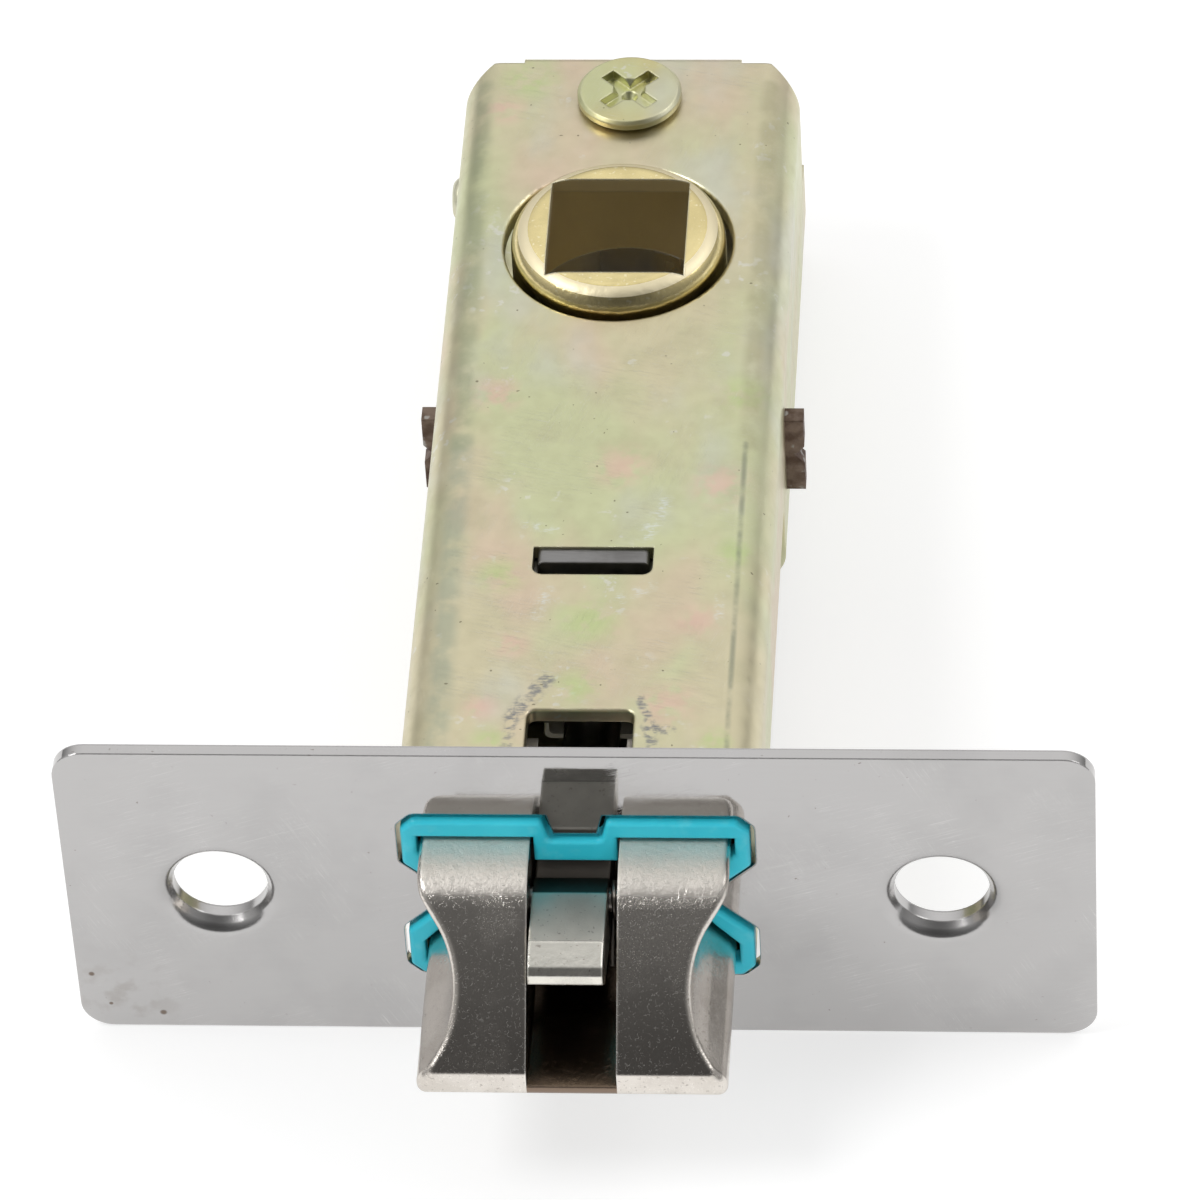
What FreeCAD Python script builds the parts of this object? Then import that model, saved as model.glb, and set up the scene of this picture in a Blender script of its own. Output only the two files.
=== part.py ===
import FreeCAD, Part
import math
import os

import Sketcher

os.makedirs("parts", exist_ok=True)
doc = FreeCAD.newDocument("TubularLatch")
sheet = doc.addObject("Spreadsheet::Sheet", "Sizes")

# The frame: X runs along the faceplate, Y runs into the door, Z is the spindle's axis.
# The origin is the middle of the faceplate's front face.


class Size:
    """A size that holds its present value and the expression that works it out."""

    def __init__(self, value, text):
        self.value = value
        self.text = text

    def joined(self, sign, other, value):
        return Size(value, f"({self.text} {sign} {as_size(other).text})")

    def __add__(self, other):
        return self.joined("+", other, self.value + as_size(other).value)

    def __radd__(self, other):
        return as_size(other) + self

    def __sub__(self, other):
        return self.joined("-", other, self.value - as_size(other).value)

    def __rsub__(self, other):
        return as_size(other) - self

    def __mul__(self, other):
        return self.joined("*", other, self.value * as_size(other).value)

    def __rmul__(self, other):
        return as_size(other) * self

    def __truediv__(self, other):
        return self.joined("/", other, self.value / as_size(other).value)

    def __neg__(self):
        return self * -1


def as_size(number):
    return number if isinstance(number, Size) else Size(number, f"({number})")


def sine(degrees):
    return Size(math.sin(math.radians(degrees.value)), f"sin({degrees.text} * 1 deg)")


def cosine(degrees):
    return Size(math.cos(math.radians(degrees.value)), f"cos({degrees.text} * 1 deg)")


def arc_sine(number):
    return Size(math.degrees(math.asin(number.value)), f"(asin({number.text}) / 1 deg)")


def root(number):
    return Size(math.sqrt(number.value), f"sqrt({number.text})")


def size(alias, value, meaning):
    """Writes one driving dimension into the sheet and gives it back by name."""
    row = size.row
    size.row = row + 1
    sheet.set(f"A{row}", meaning)
    sheet.set(f"B{row}", str(value))
    sheet.setAlias(f"B{row}", alias)
    return Size(value, f"Sizes.{alias}")


size.row = 1

# Faceplate
plate_length = size("plate_length", 57.0, "faceplate, long side")
plate_height = size("plate_height", 21.7, "faceplate, short side")
plate_thick = size("plate_thick", 0.75, "faceplate sheet")
plate_corner = size("plate_corner", 1.8, "faceplate corner radius")
screw_spacing = size("screw_spacing", 40.0, "between the faceplate's screw holes")
screw_hole = size("screw_hole", 5.3, "diameter of a faceplate screw hole")
dimple_width = size("dimple_width", 6.3, "diameter of a pressed screw seat")
dimple_depth = size("dimple_depth", 0.75, "depth of a pressed screw seat")
dimple_round = size("dimple_round", 0.8, "rounding of a screw seat's rim")

# Latch bolt
bolt_height = size("bolt_height", 9.45, "latch bolt, from its bottom to its top")
bolt_drop = size("bolt_drop", 0.125, "middle of the latch bolt, below the axis")
bolt_nose = size("bolt_nose", 10.7, "how far the bolt stands out of the faceplate")
bolt_tail = size("bolt_tail", 7.6, "how far the bolt reaches behind the faceplate's front")
nose_face = size("nose_face", 1.85, "height of the bolt's flat end under the bevel")
flute_apex = size("flute_apex", 5.36, "from the axis to the point that the side flutes aim at")
flute_shoulder = size("flute_shoulder", 0.95, "from the bolt's top down to the edge of a side flute")
flute_radius = size("flute_radius", 3.57, "radius of a flute's bottom")
flute_edge = size("flute_edge", 1.2, "rounding of the flutes' edges")
bevel_roll = size("bevel_roll", 4.0, "rounding between the bolt's top and its bevel")
bolt_edge = size("bolt_edge", 0.4, "rounding of the bolt's long edges at its top")
nose_corner = size("nose_corner", 0.5, "rounding of the nose's two ends")
slot_width = size("slot_width", 4.95, "slot between the prongs")
slot_floor = size("slot_floor", 4.0, "from the axis down to the slot's floor")
slot_end = size("slot_end", 4.8, "where the slot ends behind the faceplate")
rear_block = size("rear_block", 2.4, "top of the block behind the slot, above the axis")
bolt_throw = size("bolt_throw", 10.4, "travel of the bolt")

# Guide ring in the faceplate
guide_gap = size("guide_gap", 0.2, "running clearance between the bolt and its guide")
guide_play = size("guide_play", 0.05, "clearance between the guide and the inside of the case")
bolt_play = size("bolt_play", 0.17, "clearance between the bolt and the inside of the case")
guide_proud = size("guide_proud", 0.35, "how far the guide stands out of the faceplate")
guide_wall = size("guide_wall", 1.0, "wall of the guide ring at its bottom")
lobe_wall = size("lobe_wall", 0.85, "wall of the guide ring at its four lobes")
waist_wall = size("waist_wall", 0.85, "wall of the guide ring at its waist")
guide_chamfer = size("guide_chamfer", 0.7, "cut corners of the guide's lobes")
guide_round = size("guide_round", 0.35, "rounding of the corners of the guide's outline")
guide_edge = size("guide_edge", 0.25, "rounding of the guide's front edges")
lobe_inner = size("lobe_inner", 2.7, "height where a lobe begins to slant inwards")
waist_height = size("waist_height", 0.8, "half height of the guide's waist")
dip_width = size("dip_width", 4.6, "width of the guide's dip into the bolt's slot")
dip_depth = size("dip_depth", 1.8, "how far the dip hangs below the guide's top")
dip_wall = size("dip_wall", 1.6, "wall of the dip under the faceplate's tongue")
tongue_top = size("tongue_top", 3.6, "width of the faceplate's tongue at its root")
tongue_tip = size("tongue_tip", 2.9, "width of the faceplate's tongue at its tip")
aperture_gap = size("aperture_gap", 0.25, "clearance between the guide and the faceplate")
sleeve_length = size("sleeve_length", 2.8, "length of the guide behind the faceplate")

# Anti-friction lever, its pin and its spring
lever_width = size("lever_width", 4.1, "anti-friction lever, across")
lever_offset = size("lever_offset", 0.25, "how far the lever sits off the middle of the slot")
pivot_out = size("pivot_out", 1.2, "pivot, in front of the faceplate's front face")
pivot_up = size("pivot_up", 0.9, "pivot, above the axis")
pin_radius = size("pin_radius", 0.7, "radius of the lever's pin")
pin_fit = size("pin_fit", 0.05, "running clearance round the pin")
pin_length = size("pin_length", 12.4, "length of the lever's pin")
heel_front = size("heel_front", 2.4, "front face of the lever's heel")
heel_thick = size("heel_thick", 1.2, "thickness of the lever's heel")
heel_top = size("heel_top", 4.7, "top of the lever's heel above the axis")
lever_top = size("lever_top", 2.75, "top of the lever's arm above the axis")
lever_nose = size("lever_nose", 7.95, "how far the lever's nose stands out")
lever_step = size("lever_step", 0.53, "fall of the lever's top behind its crown")
lever_ridge = size("lever_ridge", 0.35, "from the pivot back to the end of that fall")
lever_drop = size("lever_drop", 0.55, "from the end of that fall down to the arm behind it")
lever_run = size("lever_run", 0.5, "length of that drop")
lever_crown = size("lever_crown", 1.3, "from the pivot forward to the lever's crown")
nose_slope = size("nose_slope", 1.45, "length of the worn slope on the lever's nose")
nose_fall = size("nose_fall", 0.5, "fall of that slope")
nose_cut = size("nose_cut", 0.35, "cut corner at the end of the lever's nose")
heel_edge = size("heel_edge", 0.5, "rounding of the heel's tip")
torsion_wire = size("torsion_wire", 0.26, "wire of the lever's spring")
torsion_coil = size("torsion_coil", 0.98, "mean radius of the lever's spring")
torsion_pitch = size("torsion_pitch", 0.27, "pitch of the lever spring's coil")
torsion_angle = size("torsion_angle", 40.0, "slope of the lever spring's long leg")
long_leg = size("long_leg", 3.6, "long leg of the lever's spring")
short_leg = size("short_leg", 2.2, "short leg of the lever's spring")

# Case
case_wall = size("case_wall", 0.9, "case sheet")
case_bend = size("case_bend", 2.2, "outer radius of the case's bends")
case_back = size("case_back", 62.8, "back of the case from the faceplate's front")
flap_width = size("flap_width", 13.0, "width of the flaps that close the case's back")
flap_step = size("flap_step", 0.7, "how far the flaps stand behind the side walls")
flap_bend = size("flap_bend", 0.6, "outer radius of the flaps' bends")
corner_cut = size("corner_cut", 1.7, "cut corners at the back of the side walls")
seam_drop = size("seam_drop", 1.0, "seam between the shells, below the axis")
seam_gap = size("seam_gap", 0.1, "gap at the seam")
front_narrow = size("front_narrow", 0.38, "how much narrower the lower shell is in front, each side")
joggle_place = size("joggle_place", 33.0, "where the lower shell widens")
flange_height = size("flange_height", 2.4, "welded flanges at the front of the case")
window_width = size("window_width", 5.9, "window over the lever's heel, across")
window_front = size("window_front", 1.8, "front of the window over the lever's heel")
window_back = size("window_back", 7.45, "back of the window over the lever's heel")
window_corner = size("window_corner", 0.5, "corner radius of that window")
window_rim = size("window_rim", 0.2, "rounding of that window's upper edge")
rear_screw_inset = size("rear_screw_inset", 4.05, "rear screw from the case's back")
lug_inset = size("lug_inset", 3.4, "side lug from the case's back")
lug_radius = size("lug_radius", 1.35, "radius of the side lug at the back")
lug_out = size("lug_out", 1.1, "how far the side lug stands out")
lug_round = size("lug_round", 0.6, "rounding of the side lug")

# Cross plates
cross_thick = size("cross_thick", 1.1, "sheet of the cross plates")
cross_side_gap = size("cross_side_gap", 0.12, "clearance of the cross plates at the walls")
tab_width = size("tab_width", 6.3, "tab of the front cross plate")
tab_slot_width = size("tab_slot_width", 6.8, "slot in the case for that tab, across")
tab_slot_length = size("tab_slot_length", 2.2, "slot for that tab, front to back")
tab_slot_corner = size("tab_slot_corner", 0.6, "radius of that slot's front corners")
tab_round = size("tab_round", 0.3, "rounding of the tab's ends")
tab_sunk = size("tab_sunk", 0.15, "how far the tab ends below the case's face")
seat_front = size("seat_front", 35.4, "front face of the rear cross plate")
ear_half = size("ear_half", 2.7, "half height of the rear cross plate's ears")
ear_out = size("ear_out", 1.1, "how far the ears stand out of the case")

# Stem, washer, clip and latch spring
stem_radius = size("stem_radius", 1.6, "radius of the stem in front of its shoulder")
stem_neck = size("stem_neck", 1.2, "radius of the stem behind its shoulder")
stem_head = size("stem_head", 2.2, "radius of the stem's head")
stem_head_thick = size("stem_head_thick", 0.8, "thickness of the stem's head")
shoulder_place = size("shoulder_place", 21.5, "shoulder of the stem")
stem_end = size("stem_end", 26.0, "rear end of the stem")
groove_radius = size("groove_radius", 0.9, "radius of the stem in the clip's groove")
stem_play = size("stem_play", 0.1, "clearance round the stem")
washer_radius = size("washer_radius", 4.3, "radius of the spring's washer")
washer_thick = size("washer_thick", 0.6, "thickness of the spring's washer")
clip_radius = size("clip_radius", 2.6, "outer radius of the stem's clip")
clip_thick = size("clip_thick", 0.6, "thickness of the stem's clip")
spring_wire = size("spring_wire", 0.55, "wire of the latch spring")
spring_radius = size("spring_radius", 3.75, "mean radius of the latch spring")
spring_turns = size("spring_turns", 4.5, "turns of the latch spring")

# Hub and retractor
backset = size("backset", 46.1, "spindle axis from the faceplate's front")
spindle = size("spindle", 8.1, "square hole for the spindle, across flats")
corner_play = size("corner_play", 0.075, "from the square hole's corners to the cup's inside")
hub_wall = size("hub_wall", 0.5, "wall of the hub's cups")
hub_face_thick = size("hub_face_thick", 1.0, "face of the hub's cups")
hub_proud = size("hub_proud", 1.3, "how far the hub stands out of the case")
hub_dome = size("hub_dome", 1.4, "rounding of the hub's faces")
cam_thick = size("cam_thick", 2.6, "thickness of the cam plate")
hub_play = size("hub_play", 0.4, "clearance between the hub and the case")
hub_rim = size("hub_rim", 0.25, "rounding of the edge of the case's hub hole")
cam_play = size("cam_play", 0.3, "clearance between the cam's corners and the side walls")
cam_undercut = size("cam_undercut", 16.0, "slope of a cam arm's pushing edge")
cam_spread = size("cam_spread", 14.0, "width of a cam arm's tip, as an angle")
cam_root = size("cam_root", 42.0, "width of a cam arm's root, as an angle")
fork_gap = size("fork_gap", 0.3, "clearance between the cam and the fork's hooks")
fork_sheet = size("fork_sheet", 1.0, "sheet of the retractor fork")
fork_level = size("fork_level", 3.2, "underside of the fork's rails above the axis")
fork_web = size("fork_web", 0.8, "thickness of the fork's front web")
rail_width = size("rail_width", 2.4, "width of the fork's rails")
fork_play = size("fork_play", 0.1, "clearance between the fork's web and the washer")
rail_play = size("rail_play", 0.2, "clearance between the hub and the fork")

# Rear screw and its post
screw_head = size("screw_head", 3.1, "radius of the rear screw's head")
screw_head_thick = size("screw_head_thick", 0.85, "thickness of the rear screw's head")
screw_head_cut = size("screw_head_cut", 0.2, "chamfer of the rear screw's head")
screw_lift = size("screw_lift", 0.3, "how far the rim of the rear screw's head clears the case")
screw_seat = size("screw_seat", 2.5, "radius of the seat under the rear screw's head")
screw_shank = size("screw_shank", 1.75, "radius of the rear screw's shank")
screw_length = size("screw_length", 6.0, "length of the rear screw under its head")
recess_width = size("recess_width", 0.95, "width of the cross recess")
recess_span = size("recess_span", 3.9, "length of the cross recess")
recess_depth = size("recess_depth", 0.6, "depth of the cross recess")
recess_core = size("recess_core", 1.0, "radius of the hollow at the middle of the recess")
post_radius = size("post_radius", 2.9, "radius of the threaded post")
post_rivet = size("post_rivet", 2.0, "radius of the post's riveted foot")

# Places that follow from the sizes above
margin = Size(1.0, "1")
zero = Size(0.0, "0")
hub_bore = spindle / 2 * root(Size(2.0, "2")) + corner_play
hub_radius = hub_bore + hub_wall
hub_hole = hub_radius + hub_play
rail_inner = hub_radius + rail_play
fork_half = rail_inner + rail_width
inner_half = fork_half + rail_play
half_case = inner_half + case_wall
half_bolt = inner_half - front_narrow - bolt_play
bolt_top = bolt_height / 2 - bolt_drop
bolt_bottom = bolt_height / 2 + bolt_drop
flute_height = bolt_top - flute_shoulder
bevel_reach = bolt_nose + nose_face - bolt_bottom
guide_top = bolt_bottom + guide_gap + guide_wall
inner_top = guide_top + guide_play
case_top = inner_top + case_wall
inner_bend = case_bend - case_wall
case_front = plate_thick
walls_back = case_back - flap_step
flap_front = walls_back - case_wall
flap_inside = case_back - case_wall
rear_screw_place = case_back - rear_screw_inset
opening_half = half_bolt + guide_gap
opening_top = bolt_top + guide_gap
opening_bottom = bolt_bottom + guide_gap
guide_half = opening_half + lobe_wall
dip_bottom = opening_top - dip_depth
tongue_bottom = dip_bottom + dip_wall
flute_slope = (half_bolt - flute_apex) / flute_height
flute_lean = root(flute_slope * flute_slope + 1)
flute_valley = flute_apex + flute_radius * (flute_lean - 1)
waist_half = flute_valley + guide_gap + waist_wall
hub_face = case_top + hub_proud
cam_ring = hub_radius + hub_wall
cam_half = cam_thick / 2
cam_reach = inner_half - cam_play
cam_angle = arc_sine(bolt_throw / (cam_reach * 2))
hook_front = backset - cam_reach * sine(cam_angle) + fork_gap
hook_back = hook_front + fork_sheet
hook_inner = cam_ring + rail_play
washer_front = shoulder_place
spring_front = washer_front + washer_thick
fork_web_back = washer_front - fork_play
fork_web_front = fork_web_back - fork_web
cross_back = fork_web_front - rail_play
cross_front = cross_back - cross_thick
tab_slot_front = cross_back - tab_slot_length
seat_back = seat_front + cross_thick


def plane_of(body, role):
    return next(item for item in body.Origin.OriginFeatures if item.Role == role)


def new_body(label):
    body = doc.addObject("PartDesign::Body", label)
    body.Label = label
    return body


def sketch_on(body, name, role, offset):
    """A sketch on one of the body's origin planes, moved by an offset in the plane's own axes."""
    sketch = body.newObject("Sketcher::SketchObject", name)
    sketch.AttachmentSupport = [(plane_of(body, role), "")]
    sketch.MapMode = "FlatFace"
    for axis, distance in zip("xyz", offset):
        sketch.setExpression(f"AttachmentOffset.Base.{axis}", distance.text)
    return sketch


def hold(sketch, kind, item, point, distance):
    """Holds one point of the sketch at a distance from the sketch's origin."""
    if distance.value == 0:
        axis = -2 if kind == "DistanceX" else -1
        sketch.addConstraint(Sketcher.Constraint("PointOnObject", item, point, axis))
        return
    index = sketch.addConstraint(Sketcher.Constraint(kind, item, point, distance.value))
    sketch.setExpression(f"Constraints[{index}]", distance.text)


def draw_outline(sketch, corners):
    """A closed outline of straight lines through the corners."""
    first = sketch.GeometryCount
    count = len(corners)
    points = [FreeCAD.Vector(across.value, up.value, 0) for across, up in corners]
    for number in range(count):
        sketch.addGeometry(Part.LineSegment(points[number], points[(number + 1) % count]))
    for number in range(count):
        following = first + (number + 1) % count
        sketch.addConstraint(Sketcher.Constraint("Coincident", first + number, 2, following, 1))
    for number, (across, up) in enumerate(corners):
        hold(sketch, "DistanceX", first + number, 1, across)
        hold(sketch, "DistanceY", first + number, 1, up)


def draw_circle(sketch, across, up, radius):
    centre = FreeCAD.Vector(across.value, up.value, 0)
    item = sketch.addGeometry(Part.Circle(centre, FreeCAD.Vector(0, 0, 1), radius.value))
    index = sketch.addConstraint(Sketcher.Constraint("Radius", item, radius.value))
    sketch.setExpression(f"Constraints[{index}]", radius.text)
    hold(sketch, "DistanceX", item, 3, across)
    hold(sketch, "DistanceY", item, 3, up)


def rectangle(left, low, right, high):
    return [(left, low), (right, low), (right, high), (left, high)]


def slab(body, name, role, start, end, outlines=(), circles=(), cut=False):
    """Adds or cuts a straight block between two places along the normal of a plane."""
    along_y = role == "XZ_Plane"
    offset = (zero, zero, -start if along_y else start)
    sketch = sketch_on(body, name + "Sketch", role, offset)
    for corners in outlines:
        draw_outline(sketch, corners)
    for across, up, radius in circles:
        draw_circle(sketch, across, up, radius)
    feature = body.newObject("PartDesign::Pocket" if cut else "PartDesign::Pad", name)
    feature.Profile = sketch
    feature.setExpression("Length", (end - start).text)
    feature.Reversed = along_y != cut
    body.Tip = feature
    doc.recompute()
    return feature


def turned(body, name, role, offset, corners, axis="V_Axis", cut=False):
    """Adds or cuts a body of revolution about an axis of its own sketch."""
    sketch = sketch_on(body, name + "Sketch", role, offset)
    draw_outline(sketch, corners)
    feature = body.newObject("PartDesign::Groove" if cut else "PartDesign::Revolution", name)
    feature.Profile = sketch
    feature.ReferenceAxis = (sketch, [axis])
    feature.Angle = 360
    body.Tip = feature
    doc.recompute()
    return feature


def edges_of(body, axis=None, x=None, y=None, z=None):
    """Names of the edges along one axis, or of the round ones, whose middles lie at given places."""
    wanted = [(0, x), (1, y), (2, z)]
    names = []
    for number, edge in enumerate(body.Shape.Edges, start=1):
        straight = edge.Curve.TypeId == "Part::GeomLine"
        if straight != (axis is not None):
            continue
        if straight and abs(edge.tangentAt(edge.FirstParameter)[axis]) < 0.999:
            continue
        middle = edge.CenterOfMass
        places = [(middle[index], [item.value for item in at]) for index, at in wanted if at]
        if all(min(abs(found - item) for item in values) < 0.02 for found, values in places):
            names.append(f"Edge{number}")
    return names


def rounded(body, name, radius, edges):
    base = body.Tip
    feature = body.newObject("PartDesign::Fillet", name)
    feature.Base = (base, edges)
    feature.setExpression("Radius", radius.text)
    body.Tip = feature
    doc.recompute()
    return feature


def guide_outline(grow):
    """The guide's outer outline, which the faceplate's aperture follows a clearance further out."""
    right = [
        (tongue_tip / 2 - grow, tongue_bottom + grow),
        (tongue_top / 2 - grow, guide_top + grow),
        (guide_half - guide_chamfer + grow / 2, guide_top + grow),
        (guide_half + grow, guide_top - guide_chamfer + grow / 2),
        (guide_half + grow, lobe_inner - grow / 2),
        (waist_half + grow, waist_height - grow / 2),
        (waist_half + grow, grow / 2 - waist_height),
        (guide_half + grow, grow / 2 - lobe_inner),
        (guide_half + grow, guide_chamfer - guide_top - grow / 2),
        (guide_half - guide_chamfer + grow / 2, -guide_top - grow),
    ]
    left = [(-across, up) for across, up in reversed(right)]
    return right + left


def lobe_corners(body, grow):
    """Edges at the outer corners of the four lobes of the guide's outline."""
    near = guide_half + grow
    return (edges_of(body, axis=1, x=(near, -near))
            + edges_of(body, axis=1, x=(near - guide_chamfer - grow / 2, guide_chamfer + grow / 2 - near)))


def faceplate():
    """Stainless sheet with a fluted aperture and two pressed screw seats."""
    body = new_body("faceplate")
    half_length = plate_length / 2
    half_height = plate_height / 2
    slab(body, "Plate", "XZ_Plane", zero, plate_thick,
         [rectangle(-half_length, -half_height, half_length, half_height)])
    rounded(body, "Corners", plate_corner, edges_of(body, axis=1))
    hole = screw_hole / 2
    rim = dimple_width / 2
    pressed = plate_thick + dimple_depth
    for number, side in enumerate((-1, 1), start=1):
        offset = (side * screw_spacing / 2, zero, zero)
        turned(body, f"Seat{number}", "XY_Plane", offset, [
            (zero, plate_thick / 2), (rim + plate_thick, plate_thick / 2),
            (hole + plate_thick, pressed), (zero, pressed)])
        turned(body, f"SeatHollow{number}", "XY_Plane", offset, [
            (zero, zero), (rim, zero), (hole, dimple_depth), (zero, dimple_depth)], cut=True)
    middles = screw_spacing / 2
    slab(body, "ScrewHoles", "XZ_Plane", zero, pressed,
         circles=[(middles, zero, hole), (-middles, zero, hole)], cut=True)
    slab(body, "Aperture", "XZ_Plane", zero, plate_thick, [guide_outline(aperture_gap)], cut=True)
    rounded(body, "ApertureCorners", guide_round + aperture_gap, lobe_corners(body, aperture_gap))
    rounded(body, "SeatRims", dimple_round, edges_of(body, x=(middles, -middles), y=(zero,)))
    return body


def front_edges(body):
    """Every edge in the front plane of the guide."""
    return (edges_of(body, y=(-guide_proud,)) + edges_of(body, axis=0, y=(-guide_proud,))
            + edges_of(body, axis=2, y=(-guide_proud,)))


def bolt_guide():
    """Moulded ring that lines the aperture, with bars that plug into the case."""
    body = new_body("bolt_guide")
    slab(body, "Rim", "XZ_Plane", -guide_proud, plate_thick, [guide_outline(zero)])
    rounded(body, "RimCorners", guide_round, edges_of(body, axis=1))
    sleeve_back = plate_thick + sleeve_length
    sleeve_half = inner_half - front_narrow - inner_bend
    bars = [
        rectangle(slot_width / 2, opening_top, sleeve_half, guide_top),
        rectangle(-sleeve_half, opening_top, -slot_width / 2, guide_top),
        rectangle(-sleeve_half, -guide_top, sleeve_half, -opening_bottom),
    ]
    slab(body, "Sleeve", "XZ_Plane", plate_thick - guide_proud, sleeve_back, bars)
    waist = flute_apex + guide_gap * flute_lean
    corner = (opening_half - waist) / flute_slope
    right = [
        (dip_width / 2, dip_bottom),
        (dip_width / 2, opening_top),
        (opening_half, opening_top),
        (opening_half, corner),
        (waist, zero),
        (opening_half, -corner),
        (opening_half, -opening_bottom),
    ]
    left = [(-across, up) for across, up in reversed(right)]
    slab(body, "Opening", "XZ_Plane", -guide_proud - margin, sleeve_back + margin,
         [right + left], cut=True)
    rounded(body, "Waists", flute_radius - guide_gap, edges_of(body, axis=1, x=(waist, -waist)))
    rounded(body, "FrontEdges", guide_edge, front_edges(body))
    return body


def latch_bolt():
    """Die-cast bolt: fluted section, 45 degree bevel, and a slot for the lever."""
    body = new_body("latch_bolt")
    half = half_bolt
    slab(body, "Block", "XZ_Plane", -bolt_nose, bolt_tail, [rectangle(-half, -bolt_bottom, half, bolt_top)])
    bevel = [
        (bolt_top + margin - bevel_reach, bolt_top + margin),
        (-bolt_nose - margin, bevel_reach - bolt_nose - margin),
        (-bolt_nose - margin, bolt_top + margin),
    ]
    slab(body, "Bevel", "YZ_Plane", -half - margin, half + margin, [bevel], cut=True)
    rounded(body, "BevelRoll", bevel_roll,
            edges_of(body, axis=0, y=(bolt_top - bevel_reach,), z=(bolt_top,)))
    mouth = flute_height + margin / flute_slope
    right = [(flute_apex, zero), (half + margin, -mouth), (half + margin, mouth)]
    left = [(-across, up) for across, up in reversed(right)]
    slab(body, "FluteCuts", "XZ_Plane", -bolt_nose - margin, bolt_tail + margin, [right, left], cut=True)
    rounded(body, "Flutes", flute_radius, edges_of(body, axis=1, x=(flute_apex, -flute_apex)))
    rounded(body, "FluteEdges", flute_edge,
            edges_of(body, axis=1, x=(half, -half), z=(flute_height, -flute_height)))
    rounded(body, "NoseEnds", nose_corner, edges_of(body, axis=2, y=(-bolt_nose,)))
    rounded(body, "TopEdges", bolt_edge, edges_of(body, axis=1, z=(bolt_top,)))
    rounded(body, "BottomEdges", (bolt_bottom - flute_height) / 2,
            edges_of(body, axis=1, z=(-bolt_bottom,)))
    slot_half = slot_width / 2
    slab(body, "Slot", "XY_Plane", -slot_floor, bolt_top + margin,
         [rectangle(-slot_half, -bolt_nose - margin, slot_half, slot_end)], cut=True)
    slab(body, "SlotRear", "XY_Plane", rear_block, bolt_top + margin,
         [rectangle(-slot_half, slot_end - margin, slot_half, bolt_tail + margin)], cut=True)
    slab(body, "PinHole", "YZ_Plane", -half, half, circles=[(-pivot_out, pivot_up, pin_radius)], cut=True)
    slab(body, "StemHole", "XZ_Plane", slot_end - margin, bolt_tail + margin,
         circles=[(zero, zero, stem_radius)], cut=True)
    return body


def anti_friction_lever():
    """Hooked lever in the bolt's slot, whose heel bears on the back of the faceplate's tongue."""
    body = new_body("anti_friction_lever")
    heel_back = heel_front + heel_thick
    arm_top = lever_top - lever_step - lever_drop
    side = [
        (heel_front, heel_top),
        (heel_front, arm_top),
        (lever_ridge + lever_run - pivot_out, arm_top),
        (lever_ridge - pivot_out, lever_top - lever_step),
        (-pivot_out - lever_crown, lever_top),
        (nose_cut + nose_slope - lever_nose, lever_top),
        (nose_cut - lever_nose, lever_top - nose_fall),
        (-lever_nose, lever_top - nose_fall - nose_cut),
        (-lever_nose, pivot_up + nose_cut),
        (heel_thick - lever_nose, zero),
        (-pivot_out - pin_radius, -pivot_up),
        (heel_back - pin_radius, -pivot_up / 2),
        (heel_back, pivot_up),
        (heel_back, heel_top),
    ]
    left = -lever_width / 2 - lever_offset
    slab(body, "Side", "YZ_Plane", left, left + lever_width, [side])
    slab(body, "PinBore", "YZ_Plane", left, left + lever_width,
         circles=[(-pivot_out, pivot_up, pin_radius + pin_fit)], cut=True)
    rounded(body, "HeelTip", heel_edge, edges_of(body, axis=0, y=(heel_front,), z=(heel_top,)))
    return body


def lever_pin():
    """Plain pin across both prongs."""
    body = new_body("lever_pin")
    half = pin_length / 2
    turned(body, "Pin", "XY_Plane", (zero, -pivot_out, pivot_up),
           rectangle(-half, zero, half, pin_radius), axis="H_Axis")
    return body


def wire_along(path, start, direction, radius):
    """A round wire swept along a path."""
    section = Part.Wire(Part.makeCircle(radius, start, direction))
    return Part.Wire(path).makePipeShell([section], True, True)


def lever_spring():
    """Two coils round the pin beside the lever, with a leg on the slot's floor and one at the lever."""
    radius = torsion_wire.value / 2
    coil = torsion_coil.value
    pitch = torsion_pitch.value
    forward = FreeCAD.Vector(0, 1, 0)
    coils = Part.makeHelix(pitch, pitch, coil)
    body = wire_along(coils.Edges, FreeCAD.Vector(coil, 0, 0), forward, radius)
    floor_leg = Part.makeCylinder(radius, long_leg.value, FreeCAD.Vector(coil, 0, 0), -forward)
    lever_leg = Part.makeCylinder(radius, short_leg.value, FreeCAD.Vector(coil, 0, pitch), forward)
    spring = doc.addObject("Part::Feature", "lever_spring")
    spring.Label = "lever_spring"
    spring.Shape = body.fuse([floor_leg, lever_leg])
    lying = FreeCAD.Rotation(FreeCAD.Vector(0, 1, 0), 90)
    turned_down = FreeCAD.Rotation(FreeCAD.Vector(1, 0, 0), torsion_angle.value)
    start = lever_width / 2 - lever_offset + torsion_pitch - torsion_wire / 2
    place = FreeCAD.Vector(start.value, -pivot_out.value, pivot_up.value)
    spring.Placement = FreeCAD.Placement(place, turned_down * lying)
    return spring


def bolt_stem():
    """Turned stem that is headed in the bolt's slot and shouldered for the spring's washer."""
    body = new_body("bolt_stem")
    groove_back = spring_front + clip_thick
    turned(body, "Stem", "XY_Plane", (zero, zero, zero), [
        (zero, slot_end - stem_head_thick), (stem_head, slot_end - stem_head_thick), (stem_head, slot_end),
        (stem_radius, slot_end), (stem_radius, shoulder_place), (stem_neck, shoulder_place),
        (stem_neck, spring_front), (groove_radius, spring_front), (groove_radius, groove_back),
        (stem_neck, groove_back), (stem_neck, stem_end), (zero, stem_end)])
    return body


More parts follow.
